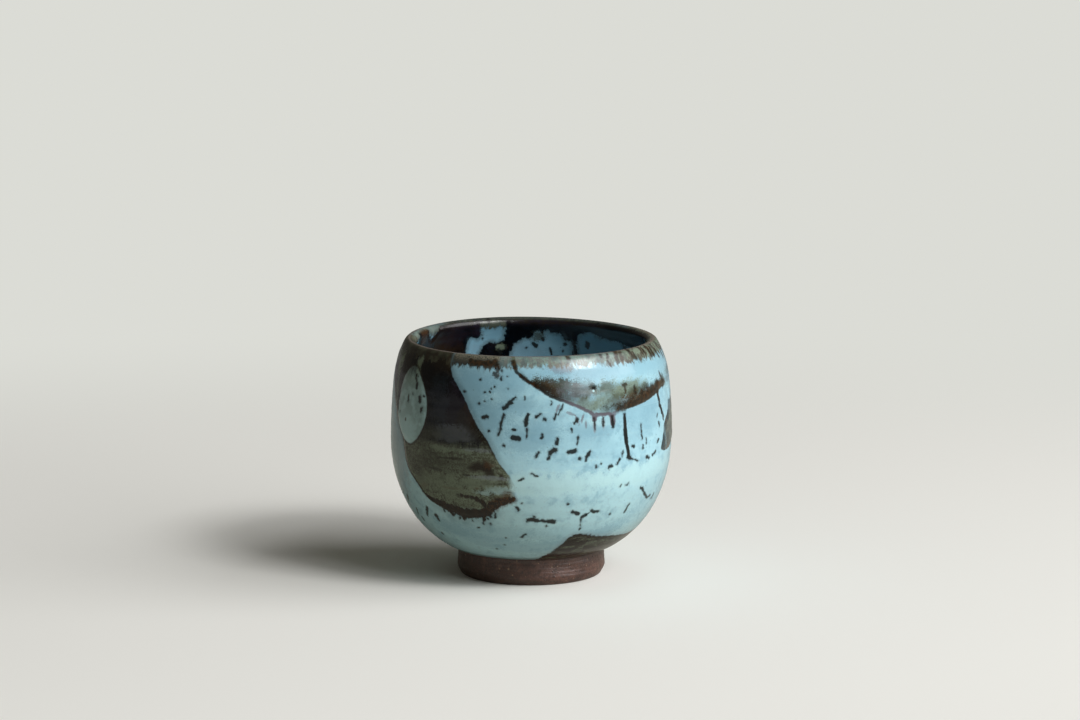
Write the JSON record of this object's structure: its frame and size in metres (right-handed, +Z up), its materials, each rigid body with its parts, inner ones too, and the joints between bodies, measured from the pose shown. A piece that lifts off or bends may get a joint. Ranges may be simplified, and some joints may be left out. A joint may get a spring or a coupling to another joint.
{
  "type": "guinomi sake cup",
  "caption": "Small wheel-thrown stoneware sake cup: round belly, inward lip, trimmed foot ring and pours of dark iron glaze hanging from the lip over a pale blue glaze.",
  "frame": {"origin": "centre of the foot ring's resting face", "axes": "+Z up along the cup's turning axis; the front, with the dark pour at its left, faces -Y; +X to the right"},
  "size_m": [0.065, 0.065, 0.0556],
  "materials": {
    "pale_glaze": "gloss, pale turquoise base glaze with dark flecks",
    "bare_clay": "matt, bare dark red-brown iron-bearing stoneware",
    "iron_glaze": "gloss, purple-black iron glaze that breaks to olive and rust",
    "thin_iron_glaze": "gloss, thin iron glaze that has turned grey-blue with a rust hem",
    "splash_glaze": "gloss, pale grey-blue with fine dark flecks"
  },
  "bodies": {
    "root": {"bowl": "pale_glaze", "foot_ring": "bare_clay", "left_iron_pour": "iron_glaze", "right_iron_pour": "thin_iron_glaze", "inner_iron_pour": "iron_glaze", "pale_splash": "splash_glaze"}
  },
  "joints": []
}
